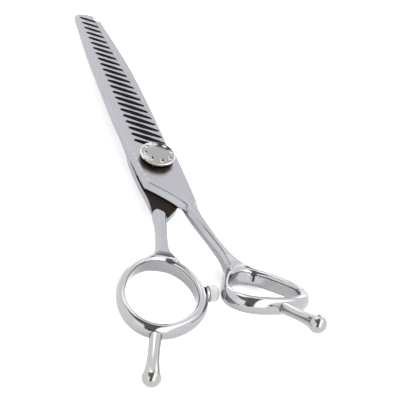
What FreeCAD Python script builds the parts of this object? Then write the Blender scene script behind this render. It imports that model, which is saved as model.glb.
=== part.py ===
import FreeCAD, Part
import math
import os

import Sketcher
from FreeCAD import Placement, Rotation, Vector

# Hairdresser's thinning shears, closed, lying with the dial side up.
# Frame: +Z up, +Y towards the blade tips, origin on the pivot axis at the underside of the straight half.
# Inside the helpers heights are counted from the ride plane, where the two halves meet.

doc = FreeCAD.newDocument("thinning_shears")
sheet = doc.addObject("Spreadsheet::Sheet", "Dims")

DIMENSIONS = {
    # the two halves
    "plate": 2.2,             # thickness of each half beside the pivot
    "tip_plate": 1.3,         # thickness of each half at its tip
    "ride_gap": 0.03,         # each half's clearance from the ride plane
    "blade_length": 79.2,     # pivot axis to the comb's tip
    # the comb's slots
    "slot_count": 23,
    "slot_pitch": 3.08,
    "slot_width": 1.6,
    "slot_length": 16.0,
    "slot_slant": 28.5,       # degrees the teeth lean back towards the pivot
    "slot_lean": 2.1,         # degrees the row of slots leans from the blade's axis
    "slot_root_x": -6.9,
    "slot_first_y": 76.6,
    # finger rings
    "ring_height": 5.2,
    "ring_inner_round": 0.6,
    "ring_outer_round": 1.9,
    "finger_x": -13.6,
    "finger_y": -53.4,
    "finger_turn": -21.1,
    "thumb_x": 16.3,
    "thumb_y": -54.6,
    "thumb_z": 0.0,
    "thumb_turn": 7.3,
    "thumb_pitch": 24.5,      # the thumb ring's rear edge is lifted
    "thumb_roll": 7.7,
    # pivot
    "shaft_radius": 1.9,
    "running_gap": 0.03,
    "head_radius": 3.3,
    "head_depth": 1.1,
    "shaft_top": 4.05,
    "bush_radius": 2.9,
    "key_radius": 0.5,
    "ride_washer_radius": 3.9,
    "ride_washer_depth": 0.25,
    # tension dial, heights from the ride plane up
    "thrust_radius": 4.4,
    "thrust_top": 2.4,
    "click_radius": 5.2,
    "click_top": 2.65,
    "click_count": 36,
    "click_notch_radius": 0.16,
    "click_notch_depth": 0.12,
    "disc_spring_radius": 3.3,
    "disc_spring_leaf": 0.25,
    "disc_spring_clearance": 0.1,
    "detent_radius": 4.6,
    "detent_bottom": 3.35,
    "nose_count": 3,
    "nose_radius": 0.45,
    "nose_circle": 4.1,
    "dial_radius": 5.45,
    "dial_bottom": 3.6,
    "dial_top": 4.5,
    "dial_bevel": 0.3,
    "dial_well_radius": 4.8,
    "dial_well_floor": 4.05,
    "knurl_count": 72,
    "knurl_depth": 0.18,
    "cap_bottom": 4.42,
    "cap_crown": 0.7,
    "dimple_count": 8,
    "dimple_radius": 0.8,
    "dimple_sink": 0.42,
    "dimple_circle": 3.95,
    "lock_head_radius": 2.3,
    "lock_head_top": 4.38,
    "lock_shaft_radius": 0.8,
    "lock_shaft_length": 2.0,
    # bumper and finger rests
    "bumper_x": -0.3,        # seat of the bumper's stud on the finger ring
    "bumper_y": -53.7,
    "bumper_z": 0.0,
    "bumper_radius": 2.35,
    "bumper_start": 0.85,
    "bumper_end": 3.5,
    "bumper_edge": 0.5,
    "stud_flange_radius": 2.0,
    "stud_radius": 0.9,
    "stud_grip": 2.2,
    "stud_post": 1.8,
    "seat_depth": 0.2,
    "drill_start": 0.8,       # how far in front of a seat its hole is cut from
    "rest_ball_radius": 2.6,
    "rest_waist_radius": 1.6,
    "rest_root_radius": 1.8,
    "rest_stud_radius": 1.0,
    "rest_stud_length": 1.6,
    "finger_rest_length": 15.4,
    "thumb_rest_length": 16.2,
    "finger_rest_turn": 2.0,  # round its ring, and away from the ring's plane
    "finger_rest_rise": -4.0,
    "thumb_rest_turn": 5.0,
    "thumb_rest_rise": 6.0,
}


def fill_sheet():
    for row, (name, value) in enumerate(DIMENSIONS.items(), start=1):
        cell = "B%d" % row
        sheet.set("A%d" % row, name)
        sheet.set(cell, str(value))
        sheet.setAlias(cell, name)
    doc.recompute()


def dim(name):
    return float(sheet.get(name))


def value_of(expression):
    return float(sheet.evalExpression(expression))


# ---------------------------------------------------------------- sketches and bodies

SKETCH_ORIGIN = (-1, 1)
SKETCH_V_AXIS = -2
UP = Vector(0, 0, 1)
parts = {}


def new_body(label):
    """A body named after its piece, with its origin on the pivot axis in the ride plane."""
    body = doc.addObject("PartDesign::Body", label + "_body")
    body.Label = label
    body.setExpression("Placement.Base.z", "Dims.plate")
    parts[label] = body
    return body


def plane_of(body, role):
    return next(feature for feature in body.Origin.OriginFeatures if feature.Role == role)


def new_sketch(body, name, role="XY_Plane", offset=None):
    sketch = body.newObject("Sketcher::SketchObject", name)
    sketch.AttachmentSupport = [(plane_of(body, role), "")]
    sketch.MapMode = "FlatFace"
    if offset is not None:
        sketch.AttachmentOffset = offset
    return sketch


def bind(sketch, constraint, expression):
    index = sketch.addConstraint(constraint)
    sketch.setExpression("Constraints[%d]" % index, expression)


def pin_point(sketch, geometry, point, x, y):
    """Holds a sketch point at two expressions of the sheet."""
    if x == "0":
        sketch.addConstraint(Sketcher.Constraint("PointOnObject", geometry, point, SKETCH_V_AXIS))
    else:
        across = Sketcher.Constraint("DistanceX", *SKETCH_ORIGIN, geometry, point, value_of(x))
        bind(sketch, across, x)
    along = Sketcher.Constraint("DistanceY", *SKETCH_ORIGIN, geometry, point, value_of(y))
    bind(sketch, along, y)


def closed_polygon(sketch, corners):
    """Straight lines through corners, each a pair of sheet expressions."""
    places = [Vector(value_of(x), value_of(y), 0) for x, y in corners]
    count = len(corners)
    for i in range(count):
        sketch.addGeometry(Part.LineSegment(places[i], places[(i + 1) % count]))
    for i in range(count):
        sketch.addConstraint(Sketcher.Constraint("Coincident", i, 2, (i + 1) % count, 1))
    for i, (x, y) in enumerate(corners):
        pin_point(sketch, i, 1, x, y)


def circle_sketch(body, name, radius, x="0", y="0", z="0"):
    """A circle on a level plane at height z."""
    sketch = new_sketch(body, name, offset=Placement(Vector(0, 0, value_of(z)), Rotation()))
    sketch.setExpression("AttachmentOffset.Base.z", z)
    centre = Vector(value_of(x), value_of(y), 0)
    circle = sketch.addGeometry(Part.Circle(centre, UP, value_of(radius)))
    bind(sketch, Sketcher.Constraint("Radius", circle, value_of(radius)), radius)
    pin_point(sketch, circle, 3, x, y)
    return sketch


def pad(body, sketch, length, middle=False):
    feature = body.newObject("PartDesign::Pad", sketch.Name + "_pad")
    feature.Profile = sketch
    feature.setExpression("Length", length)
    feature.Midplane = middle
    doc.recompute()
    return feature


def pocket(body, sketch, length, up=False, middle=False):
    """Cuts downwards from the sketch, or upwards; the body's volume has to drop."""
    before = body.Shape.Volume
    feature = body.newObject("PartDesign::Pocket", sketch.Name + "_pocket")
    feature.Profile = sketch
    feature.setExpression("Length", length)
    feature.Reversed = up
    feature.Midplane = middle
    doc.recompute()
    if body.Shape.Volume >= before:
        raise RuntimeError(sketch.Name + " cut nothing")
    return feature


def polar_pattern(body, feature, count):
    pattern = body.newObject("PartDesign::PolarPattern", feature.Name + "_round")
    pattern.Originals = [feature]
    pattern.Axis = (plane_of(body, "Z_Axis"), [""])
    pattern.Angle = 360
    pattern.setExpression("Occurrences", count)
    body.Tip = pattern
    doc.recompute()
    return pattern


def turned(label, profile):
    """A piece turned about its Z axis from a half profile of (radius, height) expressions."""
    body = new_body(label)
    sketch = new_sketch(body, label + "_profile", "XZ_Plane")
    closed_polygon(sketch, profile)
    turn = body.newObject("PartDesign::Revolution", label + "_turn")
    turn.Profile = sketch
    turn.ReferenceAxis = (sketch, ["V_Axis"])
    turn.Angle = 360
    doc.recompute()
    return body


def washer(label, inner, outer, bottom, top):
    return turned(label, [(inner, bottom), (outer, bottom), (outer, top), (inner, top)])


# ---------------------------------------------------------------- finger rings and shanks

def ring_frame(side):
    """A ring's own frame: x across the hole, y towards the blades, z out of the hole."""
    if side == "finger":
        place = Vector(dim("finger_x"), dim("finger_y"), 0)
        return Placement(place, Rotation(UP, dim("finger_turn")))
    place = Vector(dim("thumb_x"), dim("thumb_y"), dim("thumb_z"))
    turn = Rotation(UP, dim("thumb_turn"))
    pitch = Rotation(Vector(1, 0, 0), -dim("thumb_pitch"))
    roll = Rotation(Vector(0, 1, 0), dim("thumb_roll"))
    return Placement(place, turn * pitch * roll)


# Hole radius and wall at each eighth of a turn: from across the hole (+x), through the blades' side (+y).
FINGER_RING = [
    (10.4, 3.2), (10.7, 2.7), (11.3, 2.5), (10.1, 2.5),
    (9.2, 2.6), (10.4, 2.6), (11.3, 3.1), (10.4, 3.1),
]
THUMB_RING = [
    (9.7, 3.7), (9.1, 3.3), (11.2, 3.5), (9.4, 2.5),
    (10.2, 2.6), (9.9, 2.8), (8.4, 2.7), (10.2, 3.4),
]
REAR = 6    # the entry at the ring's rear end, where the finger rest stands


def closed_curve(sketch, radii):
    """A smooth closed curve about the origin through evenly spaced radii."""
    step = 2 * math.pi / len(radii)
    points = [
        Vector(radius * math.cos(i * step), radius * math.sin(i * step), 0)
        for i, radius in enumerate(radii)
    ]
    curve = Part.BSplineCurve()
    curve.interpolate(Points=points, PeriodicFlag=True)
    sketch.addGeometry(curve)


def round_rims(body, feature, radius, rims):
    rounded = body.newObject("PartDesign::Fillet", feature.Name + "_round")
    rounded.Base = (feature, rims)
    rounded.setExpression("Radius", radius)
    doc.recompute()
    return rounded


def closed_rims(feature):
    """The names of the closed edges, with their lengths."""
    return {
        "Edge%d" % (i + 1): edge.Length
        for i, edge in enumerate(feature.Shape.Edges)
        if len(edge.Vertexes) == 1
    }


def add_ring(body, name, frame, stations):
    """A finger ring: a disc with rounded rims, and a hole whose rims are rounded less."""
    outside = new_sketch(body, name, offset=frame)
    closed_curve(outside, [radius + wall for radius, wall in stations])
    disc = pad(body, outside, "Dims.ring_height", middle=True)
    disc = round_rims(body, disc, "Dims.ring_outer_round", list(closed_rims(disc)))
    before = closed_rims(disc).values()
    hole = new_sketch(body, name + "_hole", offset=frame)
    closed_curve(hole, [radius for radius, wall in stations])
    ring = pocket(body, hole, "Dims.ring_height + 2", middle=True)
    rims = [rim for rim, length in closed_rims(ring).items() if length < min(before)]
    return round_rims(body, ring, "Dims.ring_inner_round", rims)


def rounded_rectangle(sketch, width, height):
    """A rectangle about the origin whose corners are arcs of a quarter of its shorter side."""
    corner = min(width, height) / 4
    inner_x = width / 2 - corner
    inner_y = height / 2 - corner
    for quarter in range(4):
        start = quarter * math.pi / 2
        sign_x = 1 if quarter in (0, 3) else -1
        sign_y = 1 if quarter in (0, 1) else -1
        centre = Vector(sign_x * inner_x, sign_y * inner_y, 0)
        circle = Part.Circle(centre, UP, corner)
        sketch.addGeometry(Part.ArcOfCircle(circle, start, start + math.pi / 2))
    right = width / 2
    top = height / 2
    sides = [
        ((inner_x, top), (-inner_x, top)),
        ((-right, inner_y), (-right, -inner_y)),
        ((-inner_x, -top), (inner_x, -top)),
        ((right, -inner_y), (right, inner_y)),
    ]
    for first, second in sides:
        sketch.addGeometry(Part.LineSegment(Vector(*first, 0), Vector(*second, 0)))


def add_shank(body, name, stations):
    """A loft through stations of (centre, width, height), square to the line between neighbours."""
    sections = []
    centres = [Vector(*station[0]) for station in stations]
    for i, (centre, width, height) in enumerate(stations):
        ahead = centres[min(i + 1, len(centres) - 1)] - centres[max(i - 1, 0)]
        across = ahead.cross(UP)
        rotation = Rotation(across, across.cross(ahead) * -1, ahead * -1, "ZXY")
        sketch = new_sketch(body, "%s_%d" % (name, i), offset=Placement(Vector(*centre), rotation))
        rounded_rectangle(sketch, width, height)
        sections.append(sketch)
    loft = body.newObject("PartDesign::AdditiveLoft", name)
    loft.Profile = sections[0]
    loft.Sections = sections[1:]
    doc.recompute()
    return loft


# Stations run from the plate to the ring: centre, width, height.
FINGER_SHANK = [
    ((-4.3, -18.2, 0.0), 4.4, 4.3),
    ((-5.0, -23.0, 0.0), 4.0, 4.2),
    ((-6.0, -28.0, 0.0), 3.4, 4.2),
    ((-7.2, -33.0, 0.0), 3.4, 4.4),
    ((-8.3, -37.5, 0.0), 4.3, 4.6),
    ((-9.1, -41.2, 0.0), 8.0, 4.8),
]
THUMB_SHANK = [
    ((5.0, -18.2, 0.0), 4.4, 4.3),
    ((5.8, -23.8, 0.0), 4.2, 4.2),
    ((7.3, -29.2, -0.4), 3.9, 4.2),
    ((9.3, -33.7, -1.5), 3.6, 4.3),
    ((11.9, -38.1, -3.2), 4.4, 4.4),
    ((15.0, -42.6, -5.5), 9.0, 3.8),
]


# ---------------------------------------------------------------- the two halves

def outline(sketch, runs):
    """A closed outline: each run is a smooth curve through its points, or a line if it has two."""
    for run in runs:
        points = [Vector(x, y, 0) for x, y in run]
        if len(points) == 2:
            sketch.addGeometry(Part.LineSegment(*points))
        else:
            curve = Part.BSplineCurve()
            curve.interpolate(points)
            sketch.addGeometry(curve)


def add_plate(body, name, runs, bottom):
    sketch = new_sketch(body, name, offset=Placement(Vector(0, 0, value_of(bottom)), Rotation()))
    sketch.setExpression("AttachmentOffset.Base.z", bottom)
    outline(sketch, runs)
    return pad(body, sketch, "Dims.plate - Dims.ride_gap")


def taper_blade(body, name, side):
    """Thins the blade from the dial's edge to the tip; side is +1 for the top, -1 for the underside."""
    sign = "" if side > 0 else "-"
    sketch = new_sketch(body, name, "YZ_Plane")
    start = "Dims.dial_radius + 2"
    closed_polygon(sketch, [
        (start, sign + "Dims.plate"),
        ("Dims.blade_length + 2", sign + "Dims.tip_plate"),
        ("Dims.blade_length + 2", sign + "(Dims.plate + 2)"),
        (start, sign + "(Dims.plate + 2)"),
    ])
    return pocket(body, sketch, "Dims.blade_length", middle=True)


COMB_SHOULDER = (6.6, 3.2)
COMB_HEEL = (4.9, 6.2)
COMB_TIP = (-2.1, 78.1)
COMB_RUNS = [
    [COMB_TIP, (-4.6, 79.0), (-7.2, 79.2), (-8.7, 78.2), (-9.2, 75.5)],
    [(-9.2, 75.5), (-9.6, 57.0), (-9.4, 40.0), (-8.9, 19.0), (-7.9, 5.0), (-7.2, -5.0), (-6.6, -11.0)],
    [(-6.6, -11.0), (-4.7, -12.7), (-2.4, -14.9), (0.0, -17.4), (1.9, -19.9)],
    [(1.9, -19.9), (3.7, -22.6)],
    [(3.7, -22.6), (7.2, -22.2)],
    [(7.2, -22.2), (7.1, -12.0), (6.9, -4.0), COMB_SHOULDER],
    [COMB_SHOULDER, COMB_HEEL],
    [COMB_HEEL, (4.2, 17.0), (1.9, 38.5), (-0.4, 58.0), COMB_TIP],
]
STRAIGHT_RUNS = [
    [(0.4, 76.4), (-3.5, 77.6), (-7.6, 77.0)],
    [(-7.6, 77.0), (-8.2, 60.0), (-8.0, 40.0), (-7.6, 20.0), (-7.2, 7.0)],
    [(-7.2, 7.0), (-7.7, 2.0), (-7.6, -4.0), (-7.1, -10.5), (-6.5, -15.0), (-6.3, -19.5)],
    [(-6.3, -19.5), (-3.4, -24.0)],
    [(-3.4, -24.0), (-2.1, -23.3), (-0.5, -21.8), (1.7, -19.5), (4.6, -14.8), (6.4, -11.0)],
    [(6.4, -11.0), (6.7, -4.0), (6.5, 4.0), (6.1, 20.0), (4.9, 43.0), (3.3, 57.5), (0.4, 76.4)],
]

# Where the finger shank steps up above the ride plane, seen from above; in front of it the plate is bare.
STEP_RUNS = [
    [(-9.5, -21.5), (-6.9, -21.7), (-5.3, -22.2), (-4.0, -23.5), (-3.2, -25.5), (-2.4, -28.5)],
    [(-2.4, -28.5), (1.0, -28.5)],
    [(1.0, -28.5), (1.0, -12.0)],
    [(1.0, -12.0), (-9.5, -12.0)],
    [(-9.5, -12.0), (-9.5, -21.5)],
]


def cut_slots(body):
    """The gaps between the teeth: one slot, repeated along the comb from tip to pivot."""
    lean = dim("slot_lean")
    place = Vector(dim("slot_root_x"), dim("slot_first_y"), 0)
    frame = Placement(place, Rotation(UP, lean))
    sketch = new_sketch(body, "slot", offset=frame)
    slant = math.radians(dim("slot_slant") + lean)
    ahead = Vector(math.cos(slant), -math.sin(slant), 0)
    side = Vector(-ahead.y, ahead.x, 0) * (dim("slot_width") / 2)
    mouth = ahead * dim("slot_length")
    corners = [side, -side, mouth - side, mouth + side]
    round_root = Part.Arc(corners[0], ahead * (-dim("slot_width") / 2), corners[1])
    sketch.addGeometry(round_root)
    sketch.addGeometry(Part.LineSegment(corners[1], corners[2]))
    sketch.addGeometry(Part.LineSegment(corners[2], corners[3]))
    sketch.addGeometry(Part.LineSegment(corners[3], corners[0]))
    slot = pocket(body, sketch, "Dims.plate + 1", up=True)
    row = body.newObject("PartDesign::LinearPattern", "slot_row")
    row.Originals = [slot]
    row.Direction = (sketch, ["V_Axis"])
    row.Reversed = True
    row.setExpression("Occurrences", "Dims.slot_count")
    row.setExpression("Length", "Dims.slot_pitch * (Dims.slot_count - 1)")
    body.Tip = row
    doc.recompute()


def cut_step(body):
    sketch = new_sketch(body, "shank_step")
    sketch.setExpression("AttachmentOffset.Base.z", "-Dims.ride_gap")
    outline(sketch, STEP_RUNS)
    pocket(body, sketch, "Dims.plate * 2", up=True)


def bore(body, name, radius, bottom, length):
    """A round hole on the pivot axis, cut upwards from its bottom."""
    return pocket(body, circle_sketch(body, name, radius, z=bottom), length, up=True)


def drill(body, name, frame, radius, length):
    """A blind hole that starts in front of the frame's origin and goes in along its -z."""
    start = frame * Placement(Vector(0, 0, dim("drill_start")), Rotation())
    sketch = new_sketch(body, name, offset=start)
    circle = sketch.addGeometry(Part.Circle(Vector(0, 0, 0), UP, value_of(radius)))
    bind(sketch, Sketcher.Constraint("Radius", circle, value_of(radius)), radius)
    return pocket(body, sketch, length + " + Dims.drill_start")


def rest_frame(side):
    """Where a finger rest stands on its ring: z points away from the hole, along the ring's length."""
    out = sum((FINGER_RING if side == "finger" else THUMB_RING)[REAR])
    turn = Rotation(UP, dim(side + "_rest_turn"))
    rise = Rotation(Vector(1, 0, 0), 90 - dim(side + "_rest_rise"))
    return ring_frame(side) * Placement(turn.multVec(Vector(0, -out, 0)), turn * rise)


def bumper_frame():
    """The bumper's seat on the finger ring: z points at the thumb ring."""
    place = Vector(dim("bumper_x"), dim("bumper_y"), dim("bumper_z"))
    return Placement(place, Rotation(Vector(0, 1, 0), 90))


def seat_rest(body, side):
    frame = rest_frame(side)
    drill(body, side + "_rest_seat", frame, "Dims.rest_root_radius", "Dims.seat_depth")
    depth = "Dims.seat_depth + Dims.rest_stud_length"
    drill(body, side + "_rest_hole", frame, "Dims.rest_stud_radius", depth)


def make_comb_half():
    body = new_body("comb_half")
    add_ring(body, "thumb_ring", ring_frame("thumb"), THUMB_RING)
    add_shank(body, "thumb_shank", THUMB_SHANK)
    add_plate(body, "comb_plate", COMB_RUNS, "Dims.ride_gap")
    taper_blade(body, "comb_taper", 1)
    cut_slots(body)
    bore(body, "bush_bore", "Dims.bush_radius", "0", "Dims.plate + 1")
    seat_rest(body, "thumb")


def make_straight_half():
    body = new_body("straight_half")
    add_ring(body, "finger_ring", ring_frame("finger"), FINGER_RING)
    add_shank(body, "finger_shank", FINGER_SHANK)
    add_plate(body, "straight_plate", STRAIGHT_RUNS, "-Dims.plate")
    cut_step(body)
    taper_blade(body, "straight_taper", -1)
    bore(body, "screw_bore", "Dims.shaft_radius", "-Dims.plate - 1", "Dims.plate + 2")
    bore(body, "head_bore", "Dims.head_radius", "-Dims.plate - 1", "Dims.head_depth + 1")
    bore(body, "washer_recess", "Dims.ride_washer_radius", "-Dims.ride_washer_depth", "1")
    key = circle_sketch(body, "key_hole", "Dims.key_radius", "Dims.head_radius", "0", "-Dims.plate - 1")
    pocket(body, key, "Dims.head_depth + 1", up=True)
    drill(body, "bumper_seat", bumper_frame(), "Dims.stud_flange_radius", "0")
    drill(body, "bumper_hole", bumper_frame(), "Dims.stud_radius", "Dims.stud_grip")
    seat_rest(body, "finger")


# ---------------------------------------------------------------- the pivot

def make_pivot_screw():
    """Flat head flush with the straight half, plain shank through both halves, thread in the dial."""
    head_top = "-Dims.plate + Dims.head_depth"
    body = turned("pivot_screw", [
        ("0", "-Dims.plate"),
        ("Dims.head_radius", "-Dims.plate"),
        ("Dims.head_radius", head_top),
        ("Dims.shaft_radius", head_top),
        ("Dims.shaft_radius", "Dims.shaft_top"),
        ("0", "Dims.shaft_top"),
    ])
    notch = circle_sketch(body, "key_notch", "Dims.key_radius", "Dims.head_radius", "0", "-Dims.plate - 1")
    pocket(body, notch, "Dims.head_depth + 2", up=True)
    tap = circle_sketch(body, "lock_hole", "Dims.lock_shaft_radius", z="Dims.shaft_top + 1")
    pocket(body, tap, "Dims.lock_shaft_length + 1")


def make_pivot_key():
    """A dowel half in the head and half in the blade, which stops the screw from turning."""
    body = new_body("pivot_key")
    circle = circle_sketch(body, "key_round", "Dims.key_radius", "Dims.head_radius", "0", "-Dims.plate")
    pad(body, circle, "Dims.head_depth")


def make_pivot_rings():
    shaft = "Dims.shaft_radius + Dims.running_gap"
    washer("pivot_bush", shaft, "Dims.bush_radius", "Dims.ride_gap", "Dims.plate")
    washer("ride_washer", "Dims.shaft_radius", "Dims.ride_washer_radius", "-Dims.ride_washer_depth", "0")
    above_comb = "Dims.plate + Dims.ride_gap"
    washer("thrust_washer", "Dims.shaft_radius", "Dims.thrust_radius", above_comb, "Dims.thrust_top")


def make_click_ring():
    """The fixed ring under the dial, with notches round its upper edge."""
    rim = "Dims.click_radius"
    body = washer("click_ring", "Dims.shaft_radius", rim, "Dims.thrust_top", "Dims.click_top")
    above = "Dims.click_top + 1"
    notch = circle_sketch(body, "click_notch", "Dims.click_notch_radius", rim, "0", above)
    cut = pocket(body, notch, "1 + Dims.click_notch_depth")
    polar_pattern(body, cut, "Dims.click_count")


def make_disc_spring():
    """A dished spring washer that keeps the blades' tension, smaller end up."""
    foot = "Dims.click_top + Dims.ride_gap / 2"
    crest = "Dims.detent_bottom - Dims.ride_gap"
    bore_radius = "Dims.shaft_radius + Dims.disc_spring_clearance"
    turned("disc_spring", [
        ("Dims.disc_spring_radius", foot),
        ("Dims.disc_spring_radius", foot + " + Dims.disc_spring_leaf"),
        (bore_radius, crest),
        (bore_radius, crest + " - Dims.disc_spring_leaf"),
    ])


def make_detent_plate():
    """The plate under the dial, whose noses ride on the click ring."""
    inner = "Dims.shaft_radius + Dims.running_gap"
    body = washer("detent_plate", inner, "Dims.detent_radius", "Dims.detent_bottom", "Dims.dial_bottom")
    foot = "Dims.click_top + Dims.ride_gap"
    nose = circle_sketch(body, "nose", "Dims.nose_radius", "Dims.nose_circle", "0", foot)
    leg = pad(body, nose, "Dims.detent_bottom - Dims.click_top")
    polar_pattern(body, leg, "Dims.nose_count")


def make_tension_dial():
    thread = "Dims.shaft_radius + Dims.running_gap"
    beveled = "Dims.dial_radius - Dims.dial_bevel"
    body = turned("tension_dial", [
        (thread, "Dims.dial_bottom"),
        (beveled, "Dims.dial_bottom"),
        ("Dims.dial_radius", "Dims.dial_bottom + Dims.dial_bevel"),
        ("Dims.dial_radius", "Dims.dial_top - Dims.dial_bevel"),
        (beveled, "Dims.dial_top"),
        ("Dims.dial_well_radius", "Dims.dial_top"),
        ("Dims.dial_well_radius", "Dims.dial_well_floor"),
        (thread, "Dims.dial_well_floor"),
    ])
    flute = circle_sketch(body, "flute", "Dims.knurl_depth", "Dims.dial_radius", "0", "Dims.dial_top + 1")
    cut = pocket(body, flute, "Dims.dial_top - Dims.dial_bottom + 2")
    polar_pattern(body, cut, "Dims.knurl_count")


def add_primitive(kind, name, **sizes):
    shape = doc.addObject("Part::" + kind, name)
    for size, expression in sizes.items():
        shape.setExpression(size, expression)
    return shape


def make_dial_cap():
    """A low dome pressed into the dial's well, with a circle of shallow dimples."""
    slug = add_primitive("Cylinder", "cap_slug", Radius="Dims.dial_well_radius", Height="2")
    slug.setExpression("Placement.Base.z", "Dims.plate + Dims.cap_bottom")
    crown = "(Dims.dial_well_radius ^ 2 + Dims.cap_crown ^ 2) / (2 * Dims.cap_crown)"
    dome = add_primitive("Sphere", "cap_dome", Radius=crown)
    dome.setExpression("Placement.Base.z", "Dims.plate + Dims.dial_top + Dims.cap_crown - " + crown)
    cap = doc.addObject("Part::Common", "cap_blank")
    cap.Base = slug
    cap.Tool = dome
    doc.recompute()
    step = 2 * math.pi / dim("dimple_count")
    for i in range(int(dim("dimple_count"))):
        ball = add_primitive("Sphere", "dimple_%d" % i, Radius="Dims.dimple_radius")
        ball.Placement.Base.x = dim("dimple_circle") * math.cos(i * step)
        ball.Placement.Base.y = dim("dimple_circle") * math.sin(i * step)
        surface = "Dims.plate + Dims.dial_top + Dims.cap_crown / 2"
        ball.setExpression("Placement.Base.z", surface + " + Dims.dimple_radius - Dims.dimple_sink")
        dimpled = doc.addObject("Part::Cut", "cap_cut_%d" % i)
        dimpled.Base = cap
        dimpled.Tool = ball
        cap = dimpled
    cap.Label = "dial_cap"
    parts["dial_cap"] = cap


def make_lock_screw():
    """The small screw in the pivot screw's end that keeps the dial from unwinding, under the cap."""
    turned("lock_screw", [
        ("0", "Dims.shaft_top - Dims.lock_shaft_length"),
        ("Dims.lock_shaft_radius", "Dims.shaft_top - Dims.lock_shaft_length"),
        ("Dims.lock_shaft_radius", "Dims.shaft_top"),
        ("Dims.lock_head_radius", "Dims.shaft_top + Dims.ride_gap"),
        ("Dims.lock_head_radius", "Dims.lock_head_top"),
        ("0", "Dims.lock_head_top"),
    ])


# ---------------------------------------------------------------- bumper and finger rests

def stand_on(body, frame):
    """Moves a turned piece from the pivot axis to its own frame on a ring."""
    body.setExpression("Placement.Base.z", None)
    lift = Placement(Vector(0, 0, dim("plate")), Rotation())
    body.Placement = lift * frame
    doc.recompute()


def make_bumper():
    stud = turned("bumper_stud", [
        ("0", "-Dims.stud_grip"),
        ("Dims.stud_radius", "-Dims.stud_grip"),
        ("Dims.stud_radius", "0"),
        ("Dims.stud_flange_radius", "0"),
        ("Dims.stud_flange_radius", "Dims.bumper_start"),
        ("Dims.stud_radius", "Dims.bumper_start"),
        ("Dims.stud_radius", "Dims.stud_post"),
        ("0", "Dims.stud_post"),
    ])
    stand_on(stud, bumper_frame())
    pad_piece = turned("bumper", [
        ("Dims.stud_radius", "Dims.bumper_start"),
        ("Dims.bumper_radius", "Dims.bumper_start"),
        ("Dims.bumper_radius", "Dims.bumper_end - Dims.bumper_edge"),
        ("Dims.bumper_radius - Dims.bumper_edge", "Dims.bumper_end"),
        ("0", "Dims.bumper_end"),
        ("0", "Dims.stud_post"),
        ("Dims.stud_radius", "Dims.stud_post"),
    ])
    stand_on(pad_piece, bumper_frame())


def make_finger_rest(side):
    """A waisted peg with a ball end and a threaded stud, turned in one piece."""
    label = side + "_rest"
    body = new_body(label)
    sketch = new_sketch(body, label + "_profile", "XZ_Plane")
    root = dim("rest_root_radius")
    waist = dim("rest_waist_radius")
    ball = dim("rest_ball_radius")
    stud = dim("rest_stud_radius")
    length = dim(label + "_length")
    seat = -dim("seat_depth")
    stud_end = seat - dim("rest_stud_length")
    flare = [
        Vector(root, seat, 0),
        Vector(waist, 0.3 * length, 0),
        Vector(waist * 1.1, 0.55 * length, 0),
        Vector(ball, length - ball, 0),
    ]
    curve = Part.BSplineCurve()
    curve.interpolate(flare)
    sketch.addGeometry(curve)
    ball_circle = Part.Circle(Vector(0, length - ball, 0), UP, ball)
    sketch.addGeometry(Part.ArcOfCircle(ball_circle, 0, math.pi / 2))
    corners = [(0, length), (0, stud_end), (stud, stud_end), (stud, seat), (root, seat)]
    for first, second in zip(corners, corners[1:]):
        sketch.addGeometry(Part.LineSegment(Vector(*first, 0), Vector(*second, 0)))
    turn = body.newObject("PartDesign::Revolution", label + "_turn")
    turn.Profile = sketch
    turn.ReferenceAxis = (sketch, ["V_Axis"])
    turn.Angle = 360
    doc.recompute()
    stand_on(body, rest_frame(side))


# ---------------------------------------------------------------- build, check and write

def check_document():
    for item in doc.Objects:
        if "Invalid" in item.State or "Error" in item.State:
            raise RuntimeError("%s did not build: %s" % (item.Name, item.State))
    for label, item in parts.items():
        shape = item.Shape
        if shape.isNull() or not shape.isValid() or len(shape.Solids) != 1:
            raise RuntimeError(label + " is not one valid solid")


def write_parts():
    os.makedirs("parts", exist_ok=True)
    for label, item in parts.items():
        item.Shape.exportStep("parts/%s.step" % label)
        print("%-16s %9.2f mm3" % (label, item.Shape.Volume))


fill_sheet()
make_comb_half()
make_straight_half()
make_pivot_screw()
make_pivot_key()
make_pivot_rings()
make_click_ring()
make_disc_spring()
make_detent_plate()
make_tension_dial()
make_dial_cap()
make_lock_screw()
make_bumper()
make_finger_rest("finger")
make_finger_rest("thumb")
doc.recompute()
check_document()
write_parts()
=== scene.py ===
import itertools
import math

import bpy
import numpy as np
from mathutils import Matrix, Vector


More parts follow.
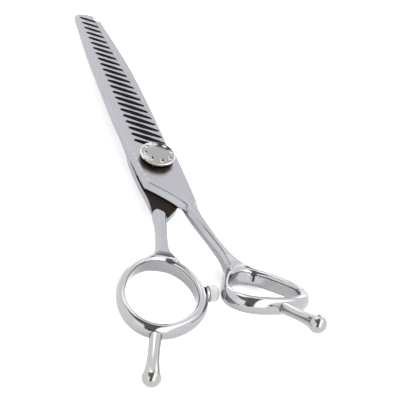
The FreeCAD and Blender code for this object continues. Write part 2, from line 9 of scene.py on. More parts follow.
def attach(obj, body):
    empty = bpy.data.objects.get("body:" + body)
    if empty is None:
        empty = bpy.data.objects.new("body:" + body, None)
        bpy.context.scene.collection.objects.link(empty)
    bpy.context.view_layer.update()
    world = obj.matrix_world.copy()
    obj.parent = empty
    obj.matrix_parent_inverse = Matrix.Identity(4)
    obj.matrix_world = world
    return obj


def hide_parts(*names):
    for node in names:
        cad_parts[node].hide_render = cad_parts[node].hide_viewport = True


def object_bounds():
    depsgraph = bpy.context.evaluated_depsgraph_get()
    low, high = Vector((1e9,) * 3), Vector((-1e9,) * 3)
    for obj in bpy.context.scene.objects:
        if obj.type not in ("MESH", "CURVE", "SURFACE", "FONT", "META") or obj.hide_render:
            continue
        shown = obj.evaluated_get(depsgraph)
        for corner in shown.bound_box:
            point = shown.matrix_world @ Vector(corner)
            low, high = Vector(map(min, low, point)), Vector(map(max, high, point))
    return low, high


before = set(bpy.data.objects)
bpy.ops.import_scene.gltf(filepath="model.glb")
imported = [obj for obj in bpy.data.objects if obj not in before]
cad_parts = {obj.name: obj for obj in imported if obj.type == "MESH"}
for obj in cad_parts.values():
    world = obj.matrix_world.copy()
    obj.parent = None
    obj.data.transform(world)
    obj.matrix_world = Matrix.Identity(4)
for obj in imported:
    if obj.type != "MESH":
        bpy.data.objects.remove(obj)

# Thinning shears. The two halves are meshed here from distance functions, so that rings, shanks and
# blades run into each other without a seam. Everything else keeps its CAD mesh and gets a material.
# Inside the shape functions lengths are millimetres and heights count from the ride plane.

CAD_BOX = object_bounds()
MM = 0.001
PLATE = 2.2          # thickness of each half, and the ride plane's height above the underside
RIDE_GAP = 0.03
GRID = 0.3           # spacing of the grid that the halves are meshed on
SHARP = math.radians(32)
THROUGH = 5.0        # far enough above or below the ride plane to cut right through

# ---------------------------------------------------------------- outlines, seen from above

COMB_RUNS = [
    [(-2.1, 78.1), (-4.6, 79.0), (-7.2, 79.2), (-8.7, 78.2), (-9.2, 75.5)],
    [(-9.2, 75.5), (-9.6, 57.0), (-9.4, 40.0), (-8.9, 19.0), (-7.9, 5.0), (-7.2, -5.0), (-6.6, -11.0)],
    [(-6.6, -11.0), (-4.7, -12.7), (-2.4, -14.9), (0.0, -17.4), (1.9, -19.9)],
    [(1.9, -19.9), (3.7, -22.6)],
    [(3.7, -22.6), (7.2, -22.2)],
    [(7.2, -22.2), (7.1, -12.0), (6.9, -4.0), (6.6, 3.2)],
    [(6.6, 3.2), (4.9, 6.2)],
    [(4.9, 6.2), (4.2, 17.0), (1.9, 38.5), (-0.4, 58.0), (-2.1, 78.1)],
]
STRAIGHT_RUNS = [
    [(0.4, 76.4), (-3.5, 77.6), (-7.6, 77.0)],
    [(-7.6, 77.0), (-8.2, 60.0), (-8.0, 40.0), (-7.6, 20.0), (-7.2, 7.0)],
    [(-7.2, 7.0), (-7.7, 2.0), (-7.6, -4.0), (-7.1, -10.5), (-6.5, -15.0), (-6.3, -19.5)],
    [(-6.3, -19.5), (-3.4, -24.0)],
    [(-3.4, -24.0), (-2.1, -23.3), (-0.5, -21.8), (1.7, -19.5), (4.6, -14.8), (6.4, -11.0)],
    [(6.4, -11.0), (6.7, -4.0), (6.5, 4.0), (6.1, 20.0), (4.9, 43.0), (3.3, 57.5), (0.4, 76.4)],
]
# Behind the first run the finger shank stands above the ride plane.
STEP_RUNS = [
    [(-9.5, -21.5), (-6.9, -21.7), (-5.3, -22.2), (-4.0, -23.5), (-3.2, -25.5), (-2.4, -28.5)],
    [(-2.4, -28.5), (20.0, -28.5)],
    [(20.0, -28.5), (20.0, -5.0)],
    [(20.0, -5.0), (-20.0, -5.0)],
    [(-20.0, -5.0), (-20.0, -21.5)],
    [(-20.0, -21.5), (-9.5, -21.5)],
]

BLADE_TAPER_START = 7.45
BLADE_TAPER_END = 81.2
TIP_PLATE = 1.3

SLOT_COUNT = 23
SLOT_PITCH = 3.08
SLOT_WIDTH = 2.1
SLOT_MOUTH = 0.35
SLOT_NARROWING = 5.0     # how far in from the edge, and from the root, a slot has its full width
SLOT_ROOT_SHARE = 0.65   # a slot's width at its root, as a share of its full width
SLOT_ROOT = np.array([-6.9, 76.6])
SLOT_LEAN = math.radians(2.1)
SLOT_SLANT = math.radians(28.5)


def smooth_run(points, steps=8):
    """Points along a smooth curve through the given ones, without the last."""
    if len(points) == 2:
        return [points[0]]
    knots = np.array([points[0], *points, points[-1]], float)
    run = []
    for a, b, c, d in zip(knots, knots[1:], knots[2:], knots[3:]):
        for t in np.linspace(0, 1, steps, endpoint=False):
            run.append(b + 0.5 * t * (c - a + t * (2 * a - 5 * b + 4 * c - d + t * (3 * (b - c) + d - a))))
    return run


def outline_of(runs):
    return np.array([point for run in runs for point in smooth_run(run)], float)


def outline_distance(x, y, corners):
    """Signed distance to a closed outline, negative inside."""
    nearest = np.full(x.shape, np.inf)
    inside = np.zeros(x.shape, bool)
    for (ax, ay), (bx, by) in zip(corners, np.roll(corners, -1, axis=0)):
        ex, ey = bx - ax, by - ay
        wx, wy = x - ax, y - ay
        t = np.clip((wx * ex + wy * ey) / (ex * ex + ey * ey), 0, 1)
        nearest = np.minimum(nearest, (wx - t * ex) ** 2 + (wy - t * ey) ** 2)
        if ey != 0:
            inside ^= ((ay > y) != (by > y)) & (wx < ex * wy / ey)
    return np.where(inside, -1, 1) * np.sqrt(nearest)


def slots_distance(x, y, flat):
    """Distance to the nearest slot. Slots have round roots and narrow towards the comb's edge."""
    ahead = np.array([math.cos(SLOT_SLANT), -math.sin(SLOT_SLANT)])
    down_the_row = np.array([math.sin(SLOT_LEAN), -math.cos(SLOT_LEAN)]) * SLOT_PITCH
    inward = np.clip(-flat / SLOT_NARROWING, 0, 1)
    full = SLOT_MOUTH + (SLOT_WIDTH - SLOT_MOUTH) * np.sqrt(inward)
    nearest = np.full(x.shape, np.inf)
    for i in range(SLOT_COUNT):
        root = SLOT_ROOT + i * down_the_row
        along = (x - root[0]) * ahead[0] + (y - root[1]) * ahead[1]
        aside = np.abs((y - root[1]) * ahead[0] - (x - root[0]) * ahead[1])
        opening = np.clip(along / SLOT_NARROWING, 0, 1)
        width = full * (SLOT_ROOT_SHARE + (1 - SLOT_ROOT_SHARE) * opening)
        gap = np.where(along > 0, aside, np.hypot(along, aside)) - width / 2
        nearest = np.minimum(nearest, gap)
    return nearest


# ---------------------------------------------------------------- rings and shanks

RING_HEIGHT = 5.1
RING_CREST = 0.36        # where across the wall, from the hole, the ring is highest
RING_RIM = 0.82          # how steeply the section falls from its crest to the hole's rim
HOLE_ROUND = 0.2
# Hole radius and wall at each eighth of a turn, from across the hole.
FINGER_RING = [
    (10.4, 3.2), (10.7, 2.7), (11.3, 2.5), (10.1, 2.5),
    (9.2, 2.6), (10.4, 2.6), (11.3, 3.1), (10.4, 3.1),
]
THUMB_RING = [
    (9.55, 3.5), (9.1, 3.3), (11.2, 3.5), (9.4, 2.5),
    (10.2, 2.6), (9.9, 2.8), (8.4, 2.7), (10.1, 3.15),
]
FINGER_PLACE = np.array([-13.6, -53.4, 0.0])
FINGER_TURN = np.array(Matrix.Rotation(math.radians(-21.1), 3, "Z"))
THUMB_PLACE = np.array([16.3, -54.6, 0.0])
THUMB_TURN = np.array(
    Matrix.Rotation(math.radians(7.3), 3, "Z")
    @ Matrix.Rotation(math.radians(-24.5), 3, "X")
    @ Matrix.Rotation(math.radians(7.7), 3, "Y")
)

# Stations run from the plate to the ring: centre, width, height.
FINGER_SHANK = [
    ((-4.1, -13.0, 0.0), 4.6, 4.3),
    ((-4.3, -18.2, 0.0), 4.4, 4.3),
    ((-5.0, -23.0, 0.0), 4.0, 4.2),
    ((-6.0, -28.0, 0.0), 3.4, 4.2),
    ((-7.2, -33.0, 0.0), 3.4, 4.4),
    ((-8.3, -37.5, 0.0), 4.3, 4.6),
    ((-9.1, -41.2, 0.0), 8.0, 4.8),
]
THUMB_SHANK = [
    ((4.3, -13.0, 0.0), 4.8, 3.2),
    ((5.0, -18.2, 0.0), 4.4, 4.2),
    ((5.8, -23.8, 0.0), 4.2, 4.3),
    ((7.3, -29.2, -0.4), 3.9, 4.2),
    ((9.3, -33.7, -1.5), 3.6, 4.3),
    ((11.9, -38.1, -3.2), 4.4, 4.4),
    ((15.0, -42.6, -5.5), 9.0, 3.8),
]

# The ground facets lean this way, and run into their neighbours over this distance.
SLOPE_OUT = 0.8
SLOPE_UP = 0.6
FACET_BLEND = 0.2


def smooth_min(a, b, blend):
    mix = np.clip(0.5 + 0.5 * (b - a) / blend, 0, 1)
    return b + (a - b) * mix - blend * mix * (1 - mix)


def smooth_max(a, b, blend):
    return -smooth_min(-a, -b, blend)


def periodic(values, angle):
    """A smooth closed curve through evenly spaced values."""
    count = len(values)
    total = np.zeros(angle.shape)
    for k, term in enumerate(np.fft.rfft(values) / count):
        weight = 1 if k in (0, count // 2) else 2
        total += weight * (term.real * np.cos(k * angle) - term.imag * np.sin(k * angle))
    return total


def ring_distances(points, place, turn, stations):
    """Distance to the ring's rounded section, and to its hole's column."""
    local = (points - place) @ turn
    angle = np.arctan2(local[:, 1], local[:, 0])
    radius = np.hypot(local[:, 0], local[:, 1])
    hole = periodic([station[0] for station in stations], angle)
    wall = periodic([station[1] for station in stations], angle)
    offset = radius - hole - RING_CREST * wall
    reach = wall * np.where(offset > 0, 1 - RING_CREST, RING_CREST / RING_RIM)
    out = offset / reach
    up = local[:, 2] / (RING_HEIGHT / 2)
    level = np.maximum(np.hypot(out, up), 0.05)
    slope = np.hypot(out / reach, up / (RING_HEIGHT / 2)) / level
    return (level - 1) / np.maximum(slope, 0.1), hole - radius


def shank_distance(points, stations, corner, facet):
    """Distance to a bar with rounded, then faceted corners that runs through the stations."""
    rows = [(*centre, width / 2, height / 2) for centre, width, height in stations]
    path = np.array(smooth_run(rows) + [rows[-1]])
    runs = np.gradient(path[:, :3], axis=0)
    sides = np.cross(runs, (0, 0, 1))
    sides /= np.linalg.norm(sides, axis=1)[:, None]
    best = np.full(len(points), np.inf)
    result = np.full(len(points), np.inf)
    last = len(path) - 2
    for i in range(last + 1):
        run = path[i + 1, :3] - path[i, :3]
        length = np.linalg.norm(run)
        along = (points - path[i, :3]) @ run / length ** 2
        t = np.clip(along, 0, 1)[:, None]
        gap = points - path[i, :3] - t * run
        far = (gap ** 2).sum(axis=1)
        closer = far < best
        side = sides[i] + t * (sides[i + 1] - sides[i])
        rise = np.cross(side, run / length)
        half = path[i, 3:] + t * (path[i + 1, 3:] - path[i, 3:])
        across = np.abs((gap * side).sum(axis=1)) - half[:, 0] + corner
        tall = np.abs((gap * rise).sum(axis=1)) - half[:, 1] + corner
        bar = np.minimum(np.maximum(across, tall), 0) - corner
        bar = bar + np.hypot(np.maximum(across, 0), np.maximum(tall, 0))
        slope = (across - corner) * SLOPE_OUT + (tall - corner) * SLOPE_UP + facet
        bar = smooth_max(bar, slope, FACET_BLEND)
        if i == 0:
            bar = np.maximum(bar, -along * length)
        if i == last:
            bar = np.maximum(bar, (along - 1) * length)
        result = np.where(closer, bar, result)
        best = np.minimum(best, far)
    return result


SHANKS_START = -10.0     # no shank reaches further forward than this
FAR_AWAY = 20.0


def shank_behind(points, stations, corner, facet):
    """The shank's distance where it can matter; in front of the shanks it is far away."""
    result = np.full(len(points), FAR_AWAY)
    behind = points[:, 1] < SHANKS_START
    if behind.any():
        result[behind] = shank_distance(points[behind], stations, corner, facet)
    return result


# ---------------------------------------------------------------- the two halves

COMB_OUTLINE = outline_of(COMB_RUNS)
STRAIGHT_OUTLINE = outline_of(STRAIGHT_RUNS)
IN_FRONT_OF_STEP = outline_of(STEP_RUNS)


def blade_thickness(y):
    share = np.clip((y - BLADE_TAPER_START) / (BLADE_TAPER_END - BLADE_TAPER_START), 0, 1)
    return PLATE + share * (TIP_PLATE - PLATE)


def pin_distance(points, x, y, radius, low, high):
    flat = np.hypot(points[:, 0] - x, points[:, 1] - y) - radius
    return np.maximum(flat, np.maximum(points[:, 2] - high, low - points[:, 2]))


HANDLE_BLEND = 2.2       # how softly each shank runs into its ring
THUMB_CORNER = 0.2       # rounding of the shanks' corners, and the size of their facets
THUMB_FACET = 0.9
FINGER_CORNER = 0.8
FINGER_FACET = 0.7
COMB_JOIN = 0.6          # how softly each plate runs into its shank
STRAIGHT_JOIN = 0.15
OVERHANG = 0.6           # the comb's handle stays above the straight half, and this far outside it

PLATE_END = -18.5        # from here the comb's plate sinks into its shank
PLATE_END_SINK = 0.9
PLATE_END_RUN = 3.0
LOWEST = -7.9            # the thumb ring's underside
LEFT_OF = 3.6            # the facet runs along the comb's outer edge only

# The facet along that edge is slight on the blade and grows to most of the wall behind the pivot.
FACET_ON_BLADE = 0.25
FACET_GROWTH = 0.8
FACET_GROWS_FROM = 12.0
FACET_GROWS_OVER = 20.0

BUSH_BORE = 2.92
SHAFT_BORE = 1.92
HEAD_BORE = 3.32
HEAD_TOP = -1.1
WASHER_BORE = 3.92
WASHER_FLOOR = -0.25
KEY_BORE = 0.52
KEY_X = 3.3


def handle(points, ring, stations, corner, facet):
    """Ring and shank as one forging, with the hole cut through."""
    outside, hole = ring
    bar = shank_behind(points, stations, corner, facet)
    return smooth_max(smooth_min(outside, bar, HANDLE_BLEND), hole, HOLE_ROUND)


def left_facet(y):
    return FACET_ON_BLADE + FACET_GROWTH * np.clip((FACET_GROWS_FROM - y) / FACET_GROWS_OVER, 0, 1)


def comb_half(points):
    x, y, z = points.T
    edge = outline_distance(x, y, COMB_OUTLINE)
    flat = np.maximum(edge, -slots_distance(x, y, edge))
    sunk = PLATE_END_SINK * np.clip((PLATE_END - y) / PLATE_END_RUN, 0, 1) ** 2
    top = z - blade_thickness(y) + sunk
    slope = np.where(x < LEFT_OF, edge * SLOPE_OUT + top * SLOPE_UP + left_facet(y), -1.0)
    plate = np.maximum(np.maximum(flat, RIDE_GAP - z), smooth_max(slope, top, FACET_BLEND))
    ring = ring_distances(points, THUMB_PLACE, THUMB_TURN, THUMB_RING)
    grip = handle(points, ring, THUMB_SHANK, THUMB_CORNER, THUMB_FACET)
    under = np.maximum(z - RIDE_GAP, outline_distance(x, y, STRAIGHT_OUTLINE) - OVERHANG)
    body = smooth_min(plate, np.maximum(grip, -under), COMB_JOIN)
    body = np.maximum(body, LOWEST - z)
    return np.maximum(body, -pin_distance(points, 0, 0, BUSH_BORE, -THROUGH, THROUGH))


def straight_half(points):
    x, y, z = points.T
    flat = outline_distance(x, y, STRAIGHT_OUTLINE)
    plate = np.maximum(flat, np.maximum(z + RIDE_GAP, -blade_thickness(y) - z))
    ring = ring_distances(points, FINGER_PLACE, FINGER_TURN, FINGER_RING)
    grip = handle(points, ring, FINGER_SHANK, FINGER_CORNER, FINGER_FACET)
    body = smooth_min(plate, grip, STRAIGHT_JOIN)
    above = np.maximum(-RIDE_GAP - z, outline_distance(x, y, IN_FRONT_OF_STEP))
    body = np.maximum(body, -above)
    body = np.maximum(body, -pin_distance(points, 0, 0, SHAFT_BORE, -THROUGH, THROUGH))
    body = np.maximum(body, -pin_distance(points, 0, 0, HEAD_BORE, -THROUGH, HEAD_TOP))
    body = np.maximum(body, -pin_distance(points, 0, 0, WASHER_BORE, WASHER_FLOOR, THROUGH))
    return np.maximum(body, -pin_distance(points, KEY_X, 0, KEY_BORE, -THROUGH, HEAD_TOP))


# ---------------------------------------------------------------- from distance to mesh

BLOCK = 6                # grid cells along a block that is either meshed or skipped
REGULAR = 0.05           # pull towards the middle of a cell's crossings
REFINEMENTS = 3          # how many times a crossing's place is narrowed down
COMB_BOX = ((-12.3, -72, -8.5), (31.5, 80.5, 8))
STRAIGHT_BOX = ((-28, -70, -3.4), (8, 79, 3.4))


def sample(distance, low, blocks):
    """Distances at the grid points of every block that the surface may pass through."""
    reach = BLOCK * GRID
    middles = [low[axis] + reach * (np.arange(blocks[axis]) + 0.5) for axis in range(3)]
    centres = np.stack(np.meshgrid(*middles, indexing="ij"), axis=-1)
    coarse = distance(centres.reshape(-1, 3)).reshape(blocks)
    near = np.abs(coarse) < 1.5 * reach
    for axis in range(3):
        near = near.repeat(BLOCK, axis)
        coarse = coarse.repeat(BLOCK, axis)
    known = np.pad(near, (0, 1))
    for shift in itertools.product((0, 1), repeat=3):
        known |= np.pad(near, [(s, 1 - s) for s in shift])
    field = np.pad(coarse, (0, 1), mode="edge")
    wanted = np.argwhere(known)
    field[known] = distance(low + wanted * GRID)
    return field, known


def crossings(distance, field, known, low, axis):
    """Grid edges along an axis that the surface crosses: cell indices, points and which end is inside."""
    start = [slice(None)] * 3
    end = [slice(None)] * 3
    start[axis] = slice(None, -1)
    end[axis] = slice(1, None)
    first, second = field[tuple(start)], field[tuple(end)]
    crossed = ((first < 0) != (second < 0)) & known[tuple(start)] & known[tuple(end)]
    cells = np.argwhere(crossed)
    a, b = first[crossed], second[crossed]
    lower, upper = np.zeros(len(a)), np.ones(len(a))
    for _ in range(REFINEMENTS):
        t = lower + (upper - lower) * a / (a - b)
        points = low + cells * GRID
        points[:, axis] += t * GRID
        here = distance(points)
        same = (here < 0) == (a < 0)
        lower, a = np.where(same, t, lower), np.where(same, here, a)
        upper, b = np.where(same, upper, t), np.where(same, b, here)
    return cells, points, first[crossed] < 0


def normals_at(distance, points, gap=0.02):
    columns = []
    for axis in range(3):
        shift = np.zeros(3)
        shift[axis] = gap
        columns.append(distance(points + shift) - distance(points - shift))
    normals = np.stack(columns, axis=1)
    return normals / np.maximum(np.linalg.norm(normals, axis=1), 1e-9)[:, None]


def plane_meetings(planes, owner):
    """For each cell, the point nearest to all of its planes, each given as a normal and a point."""
    middle = np.stack([np.bincount(owner, planes[:, 3 + i]) for i in range(3)], axis=1)
    middle /= np.bincount(owner)[:, None]
    offset = (planes[:, :3] * (planes[:, 3:] - middle[owner])).sum(axis=1)
    square = np.zeros((len(middle), 3, 3))
    right = np.zeros((len(middle), 3))
    for i in range(3):
        right[:, i] = np.bincount(owner, planes[:, i] * offset)
        for j in range(3):
            square[:, i, j] = np.bincount(owner, planes[:, i] * planes[:, j])
    square += REGULAR * np.eye(3)
    return middle + np.linalg.solve(square, right[:, :, None])[:, :, 0]


def new_piece(name, vertices, faces):
    """A mesh object from heights above the ride plane, in millimetres."""
    mesh = bpy.data.meshes.new(name)
    mesh.from_pydata((vertices + (0, 0, PLATE)) * MM, [], faces)
    mesh.validate()
    mesh.set_sharp_from_angle(angle=SHARP)
    piece = bpy.data.objects.new(name, mesh)
    bpy.context.scene.collection.objects.link(piece)
    return piece


def mesh_surface(name, distance, low, high):
    """Dual contouring: one vertex in each crossed cell, placed where the crossings' planes meet."""
    low = np.array(low, float)
    blocks = tuple(np.ceil((np.array(high) - low) / (BLOCK * GRID)).astype(int))
    field, known = sample(distance, low, blocks)
    shape = np.array(field.shape)
    keys, quads, planes = [], [], []
    for axis in range(3):
        cells, points, inside = crossings(distance, field, known, low, axis)
        normals = normals_at(distance, points)
        step_b, step_c = np.eye(3, dtype=int)[[(axis + 1) % 3, (axis + 2) % 3]]
        corners = [cells, cells - step_b, cells - step_b - step_c, cells - step_c]
        around = np.stack([np.ravel_multi_index(c.T, shape) for c in corners], axis=1)
        quads.append(np.where(inside[:, None], around, around[:, ::-1]))
        keys.append(around.ravel())
        planes.append(np.hstack([normals, points]).repeat(4, axis=0))
    keys = np.concatenate(keys)
    planes = np.concatenate(planes)
    cells, owner = np.unique(keys, return_inverse=True)
    vertices = plane_meetings(planes, owner)
    corner = low + np.stack(np.unravel_index(cells, shape), axis=1) * GRID
    vertices = np.clip(vertices, corner, corner + GRID)
    faces = np.searchsorted(cells, np.concatenate(quads))
    return new_piece(name, vertices, faces.tolist()), vertices


POLISH_START = 0.05      # the ring's polish fades out over this distance from its surface
POLISH_FADE = 0.9
SAME_LEVEL = 0.05


def add_polish(obj, vertices, ring, place, turn):
    """A 0 to 1 value per vertex: how far the satin finish has given way to the ring's polish."""
    outside = ring_distances(vertices, place, turn, ring)[0]
    polish = obj.data.attributes.new("polish", "FLOAT", "POINT")
    share = np.clip(1 - (outside - POLISH_START) / POLISH_FADE, 0, 1)
    polish.data.foreach_set("value", share.astype(np.float32))


def add_ride_face(obj, vertices):
    """1 on the ride face behind the pivot, which gets a near black colour: painted shade where the comb's
    dark underside lies over it.
    """
    # Painted shade mask: the flat ride face under the comb, behind the pivot.
    level = np.abs(vertices[:, 2] + RIDE_GAP) < SAME_LEVEL
    inside = outline_distance(vertices[:, 0], vertices[:, 1], IN_FRONT_OF_STEP) < 0.2
    painted_ride_shade = obj.data.attributes.new("painted_ride_shade", "FLOAT", "POINT")
    painted_ride_shade.data.foreach_set("value", (level & inside).astype(np.float32))


def make_halves(steel):
    comb, vertices = mesh_surface("comb_half_forged", comb_half, *COMB_BOX)
    add_polish(comb, vertices, THUMB_RING, THUMB_PLACE, THUMB_TURN)
    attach(comb, "comb")
    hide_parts("comb_half")
    straight, vertices = mesh_surface("straight_half_forged", straight_half, *STRAIGHT_BOX)
    add_polish(straight, vertices, FINGER_RING, FINGER_PLACE, FINGER_TURN)
    add_ride_face(straight, vertices)
    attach(straight, "straight")
    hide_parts("straight_half")
    for half in (comb, straight):
        half.data.materials.append(steel)


# ---------------------------------------------------------------- the dial

DIAL_RADIUS = 5.45
DIAL_CROWN = 0.7
DOME_RADIUS = 5.1
DOME_FOOT = 4.5
KNURLS = 72
KNURL_DEPTH = 0.2
AROUND = KNURLS * 6
DIMPLES = 8
DIMPLE_CIRCLE = 3.95
DIMPLE_RADIUS = 0.8
DIMPLE_DEPTH = 0.38
CENTRE = 0.1             # radius of the small flat at the dome's middle
DOME_STEP = 0.125
DIAL_BOTTOM = 3.6
BORE_RADIUS = 2.0
WELL_RADIUS = 4.5
WELL_FLOOR = 4.05
WELL_TOP = 4.42
# Radius and height down the rim, under the dial and round the well over the lock screw.
DIAL_RIM = [
    (DOME_RADIUS, DOME_FOOT), (DIAL_RADIUS, 4.3), (DIAL_RADIUS, 3.8), (5.2, DIAL_BOTTOM),
    (BORE_RADIUS, DIAL_BOTTOM), (BORE_RADIUS, WELL_FLOOR), (WELL_RADIUS, WELL_FLOOR),
    (WELL_RADIUS, WELL_TOP), (CENTRE, WELL_TOP),
]


def dial_height(x, y):
    """Height of the domed top, with its circle of dimples."""
    height = DOME_FOOT + DIAL_CROWN * (1 - (x ** 2 + y ** 2) / DOME_RADIUS ** 2)
    for i in range(DIMPLES):
        turn = 2 * math.pi * i / DIMPLES
        away = np.hypot(x - DIMPLE_CIRCLE * math.cos(turn), y - DIMPLE_CIRCLE * math.sin(turn))
        height = height - DIMPLE_DEPTH * np.maximum(0, 1 - (away / DIMPLE_RADIUS) ** 2)
    return height


def make_dial():
    """One turned piece: dome, knurled rim and the hollow underneath."""
    turn = np.linspace(0, 2 * math.pi, AROUND, endpoint=False)
    rings = []
    for radius in np.arange(CENTRE, DOME_RADIUS - 0.05, DOME_STEP):
        x, y = radius * np.cos(turn), radius * np.sin(turn)
        rings.append(np.stack([x, y, dial_height(x, y)], axis=1))
    for radius, height in DIAL_RIM:
        knurled = radius > DOME_RADIUS
        groove = KNURL_DEPTH * np.cos(KNURLS * turn / 2) ** 2 if knurled else 0 * turn
        x, y = (radius - groove) * np.cos(turn), (radius - groove) * np.sin(turn)
        rings.append(np.stack([x, y, np.full(AROUND, height)], axis=1))
    vertices = np.concatenate(rings)
    ahead = np.roll(np.arange(AROUND), -1)
    faces = [tuple(range(AROUND)), tuple(range(len(vertices) - 1, len(vertices) - AROUND - 1, -1))]
    for i in range(len(rings) - 1):
        outer, inner = (i + 1) * AROUND, i * AROUND
        for here, there in enumerate(ahead):
            faces.append((inner + here, outer + here, outer + there, inner + there))
    dial = new_piece("dial_turned", vertices, faces)
    dial.data.materials.append(dial_steel())
    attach(dial, "dial")
    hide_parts("tension_dial", "dial_cap")


# ---------------------------------------------------------------- materials


class Nodes:
    """Short names for building one material's node tree."""

    def __init__(self, name, color, metallic, roughness):
        self.material = bpy.data.materials.new(name)
        self.material.use_nodes = True
        self.tree = self.material.node_tree
        self.shader = self.tree.nodes["Principled BSDF"]
        self.shader.inputs["Base Color"].default_value = (*color, 1)
        self.shader.inputs["Metallic"].default_value = metallic
        self.shader.inputs["Roughness"].default_value = roughness

    def add(self, kind, **inputs):
        node = self.tree.nodes.new(kind)
        for key, value in inputs.items():
            self.put(node.inputs[key.replace("_", " ")], value)
        return node

    def put(self, socket, value):
        if isinstance(value, bpy.types.NodeSocket):
            self.tree.links.new(value, socket)
        else:
            socket.default_value = value

    def place(self, stretch):
        """Object coordinates, stretched: larger numbers give finer detail along that axis."""
        where = self.tree.nodes.new("ShaderNodeTexCoord").outputs["Object"]
        return self.add("ShaderNodeMapping", Vector=where, Scale=stretch).outputs["Vector"]

    def noise(self, stretch, detail=4.0, rough=0.55):
        node = self.add("ShaderNodeTexNoise", Vector=self.place(stretch), Detail=detail)
        node.inputs["Scale"].default_value = 1.0
        node.inputs["Roughness"].default_value = rough
        return node.outputs["Fac"]

    def ramp(self, value, low, high, out_low, out_high):
        node = self.add("ShaderNodeMapRange", Value=value)
        for key, number in zip(("From Min", "From Max", "To Min", "To Max"), (low, high, out_low, out_high)):
            self.put(node.inputs[key], number)
        return node.outputs["Result"]

    def bump(self, height, strength, distance):
        node = self.add("ShaderNodeBump", Height=height)
        node.inputs["Strength"].default_value = strength
        node.inputs["Distance"].default_value = distance
        self.put(self.shader.inputs["Normal"], node.outputs["Normal"])

    def mix(self, share, a, b):
        node = self.tree.nodes.new("ShaderNodeMix")
        node.data_type = "RGBA"
        self.put(node.inputs["Factor"], share)
        self.put(node.inputs[6], a)
        self.put(node.inputs[7], b)
        return node.outputs[2]


def forged_steel():
    """Satin along the blades and shanks, polish on the rings, and painted shade: a near black colour on the
    ride face behind the pivot.
    """
    m = Nodes("forged_steel", (0.31, 0.31, 0.325), 1, 0.3)
    polish = m.add("ShaderNodeAttribute")
    polish.attribute_name = "polish"
    grain = m.noise((9000, 350, 9000))
    cloud = m.noise((120, 60, 120), 2.0)
    satin = m.ramp(grain, 0.3, 0.7, 0.25, 0.32)
    bright = m.ramp(cloud, 0.3, 0.7, 0.04, 0.08)
    share = polish.outputs["Fac"]
    rough = m.add("ShaderNodeMix", Factor=share, A=satin, B=bright).outputs["Result"]
    m.put(m.shader.inputs["Roughness"], rough)
    bright_color = m.mix(share, (0.275, 0.275, 0.29, 1), (0.3, 0.3, 0.305, 1))
    # Painted shade: the ride face behind the pivot, under the comb, is coloured near black.
    painted_ride_shade = m.add("ShaderNodeAttribute")
    painted_ride_shade.attribute_name = "painted_ride_shade"
    m.put(m.shader.inputs["Base Color"], m.mix(painted_ride_shade.outputs["Fac"], bright_color, (0.014, 0.01, 0.008, 1)))
    m.bump(grain, 0.03, 0.00002)
    return m.material


def grained(m, stretch, low, high, strength):
    """A fine grain that varies the roughness from low to high and lifts the surface a little."""
    grain = m.noise(stretch, 3.0)
    m.put(m.shader.inputs["Roughness"], m.ramp(grain, 0.3, 0.7, low, high))
    m.bump(grain, strength, 0.00002)
    return m.material


def turned_steel():
    m = Nodes("turned_steel", (0.3, 0.295, 0.285), 1, 0.12)
    return grained(m, (4000, 4000, 4000), 0.09, 0.16, 0.05)


def dial_steel():
    """Plain polish on the dome, and a painted highlight on the rim below it: the knurl, shaded by the dome's
    edge, is coloured paler and slightly warm.
    """
    m = Nodes("dial_steel", (0.25, 0.247, 0.24), 1, 0.16)
    where = m.tree.nodes.new("ShaderNodeTexCoord").outputs["Object"]
    height = m.add("ShaderNodeSeparateXYZ", Vector=where).outputs["Z"]
    foot = (PLATE + DOME_FOOT) * MM
    # Painted highlight: everything below the dome's foot gets a pale, warm colour in place of the dome's
    # grey.
    rim = m.ramp(height, foot - 0.1 * MM, foot, 1, 0)
    m.put(m.shader.inputs["Base Color"], m.mix(rim, (0.22, 0.222, 0.22, 1), (0.62, 0.56, 0.52, 1)))
    return grained(m, (6000, 6000, 1500), 0.12, 0.22, 0.1)


# Painted shade: the brass gets a very dark brown, since the ring sits in the dark gap under the dial.
def ring_brass():
    m = Nodes("ring_brass", (0.09, 0.055, 0.035), 1, 0.35)
    return grained(m, (5000, 5000, 5000), 0.25, 0.4, 0.1)


def bearing_polymer():
    m = Nodes("bearing_polymer", (0.7, 0.68, 0.62), 0, 0.45)
    return grained(m, (3000, 3000, 3000), 0.38, 0.52, 0.1)


def bumper_rubber():
    m = Nodes("bumper_rubber", (0.5, 0.5, 0.48), 0, 0.3)
    cloud = m.noise((700, 700, 700), 3.0)
    m.put(m.shader.inputs["Base Color"], m.mix(cloud, (0.4, 0.4, 0.385, 1), (0.5, 0.5, 0.485, 1)))
    m.put(m.shader.inputs["Roughness"], m.ramp(cloud, 0.3, 0.7, 0.25, 0.45))
    m.shader.inputs["Subsurface Weight"].default_value = 0.3
    m.shader.inputs["Subsurface Radius"].default_value = (0.002, 0.002, 0.002)
    m.bump(cloud, 0.1, 0.00005)
    return m.material


def paint_nodes(slots):
    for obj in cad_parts.values():
        for slot in obj.material_slots:
            slot.material = slots[slot.material.name.split(".")[0]]


# ---------------------------------------------------------------- stage

CAMERA_PLACE = Vector((-108.065, -229.625, 207.308)) * MM
CAMERA_RIGHT = Vector((0.9286, -0.2881, 0.234))
CAMERA_DOWN = Vector((-0.029, -0.6849, -0.7281))
CAMERA_FORWARD = Vector((0.3701, 0.6693, -0.6443))
CAMERA_LENS = 95.39


def add_camera():
    data = bpy.data.cameras.new("camera")
    data.lens = CAMERA_LENS
    data.sensor_width = 36
    data.clip_start = 0.01
    camera = bpy.data.objects.new("camera", data)
    bpy.context.scene.collection.objects.link(camera)
    turn = Matrix((CAMERA_RIGHT, -CAMERA_DOWN, -CAMERA_FORWARD)).transposed()
    camera.matrix_world = Matrix.Translation(CAMERA_PLACE) @ turn.to_4x4()
    bpy.context.scene.camera = camera


FLOOR_GLOW = 0.3         # the floor gives off a little light, which softens the shadows
FLOOR_REACH = 3.0


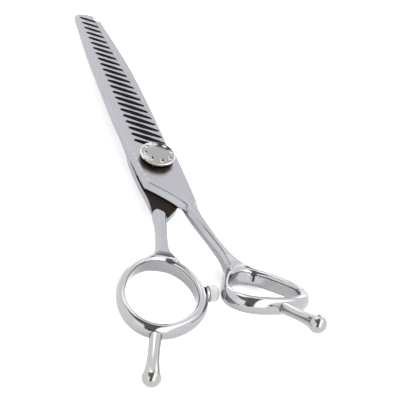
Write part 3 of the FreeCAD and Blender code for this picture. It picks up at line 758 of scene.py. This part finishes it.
def add_floor():
    low = CAD_BOX[0][2]
    mesh = bpy.data.meshes.new("floor")
    signs = ((-1, -1), (1, -1), (1, 1), (-1, 1))
    corners = [(FLOOR_REACH * x, FLOOR_REACH * y, low) for x, y in signs]
    mesh.from_pydata(corners, [], [(0, 1, 2, 3)])
    floor = bpy.data.objects.new("floor", mesh)
    bpy.context.scene.collection.objects.link(floor)
    pale = Nodes("floor", (0.9, 0.9, 0.9), 0, 0.9)
    pale.put(pale.shader.inputs["Emission Color"], (1, 1, 1, 1))
    pale.put(pale.shader.inputs["Emission Strength"], FLOOR_GLOW)
    floor.data.materials.append(pale.material)


def add_light(name, place, size, power, aim=(0, -0.02, 0)):
    data = bpy.data.lights.new(name, "AREA")
    data.shape = "RECTANGLE"
    data.size, data.size_y = size
    data.energy = power
    light = bpy.data.objects.new(name, data)
    light.location = place
    way = Vector(aim) - Vector(place)
    light.rotation_euler = way.to_track_quat("-Z", "Y").to_euler()
    bpy.context.scene.collection.objects.link(light)


# Directions of the surroundings are given as away from the camera, to its right, and up.
AWAY = (0.4839, 0.8751, 0.0)
RIGHT = (0.8751, -0.4839, 0.0)
UP = (0.0, 0.0, 1.0)
SKY = (1.9, 1.9, 1.957)
# Light and dark panels, each painted over the ones before: away, right, up, brightness.
PANELS = [
    ((0.3, 1.2), (-0.5, 0.5), (0.06, 0.42), 3.6),
    ((0.3, 1.2), (-0.16, 0.16), (0.06, 0.42), 0.05),
    ((-1.2, 0.42), (-0.7, -0.25), (0.1, 0.62), 2.3),
    ((-1.2, 0.3), (-0.7, -0.25), (0.7, 1.2), 0.35),
    ((-1.2, 0.42), (0.25, 0.7), (0.15, 1.2), 3.3),
    ((-1.2, 0.3), (-0.26, 0.26), (0.12, 1.2), 0.3),
    ((-1.2, 0.1), (-0.09, 0.09), (0.05, 0.3), 0.04),
]
PANEL_EDGE = 0.03


def share_along(tree, way):
    """How far the looked-at direction goes along the given one."""
    node = tree.nodes.new("ShaderNodeVectorMath")
    node.operation = "DOT_PRODUCT"
    place = tree.nodes.new("ShaderNodeTexCoord").outputs["Generated"]
    tree.links.new(place, node.inputs[0])
    node.inputs[1].default_value = way
    return node.outputs["Value"]


def soft_step(tree, value, start, end):
    node = tree.nodes.new("ShaderNodeMapRange")
    node.interpolation_type = "SMOOTHSTEP"
    tree.links.new(value, node.inputs["Value"])
    node.inputs["From Min"].default_value = start
    node.inputs["From Max"].default_value = end
    return node.outputs["Result"]


def product(tree, a, b):
    node = tree.nodes.new("ShaderNodeMath")
    node.operation = "MULTIPLY"
    tree.links.new(a, node.inputs[0])
    tree.links.new(b, node.inputs[1])
    return node.outputs[0]


def panel_cover(tree, ways, ranges):
    """1 inside a panel, with soft edges."""
    edges = []
    for way, (low, high) in zip(ways, ranges):
        edges.append(soft_step(tree, way, low - PANEL_EDGE, low + PANEL_EDGE))
        edges.append(soft_step(tree, way, high + PANEL_EDGE, high - PANEL_EDGE))
    cover = edges[0]
    for edge in edges[1:]:
        cover = product(tree, cover, edge)
    return cover


def add_world():
    world = bpy.data.worlds.new("studio")
    bpy.context.scene.world = world
    world.use_nodes = True
    tree = world.node_tree
    ways = [share_along(tree, way) for way in (AWAY, RIGHT, UP)]
    sky = tree.nodes.new("ShaderNodeRGB").outputs[0]
    sky.default_value = (*SKY, 1)
    for *ranges, brightness in PANELS:
        mix = tree.nodes.new("ShaderNodeMix")
        mix.data_type = "RGBA"
        mix.clamp_result = False
        tree.links.new(panel_cover(tree, ways, ranges), mix.inputs["Factor"])
        tree.links.new(sky, mix.inputs[6])
        mix.inputs[7].default_value = (brightness, brightness, brightness, 1)
        sky = mix.outputs[2]
    tree.links.new(sky, tree.nodes["Background"].inputs["Color"])


add_camera()
add_floor()
add_world()
add_light("top_box", (-0.2, 0.5, 0.9), (0.5, 0.5), 1.5)
make_halves(forged_steel())
make_dial()
paint_nodes({
    "blade_steel": forged_steel(),
    "screw_steel": turned_steel(),
    "dial_steel": dial_steel(),
    "rest_steel": turned_steel(),
    "ring_brass": ring_brass(),
    "bearing_polymer": bearing_polymer(),
    "bumper_rubber": bumper_rubber(),
})
bpy.context.scene.view_settings.view_transform = "Standard"
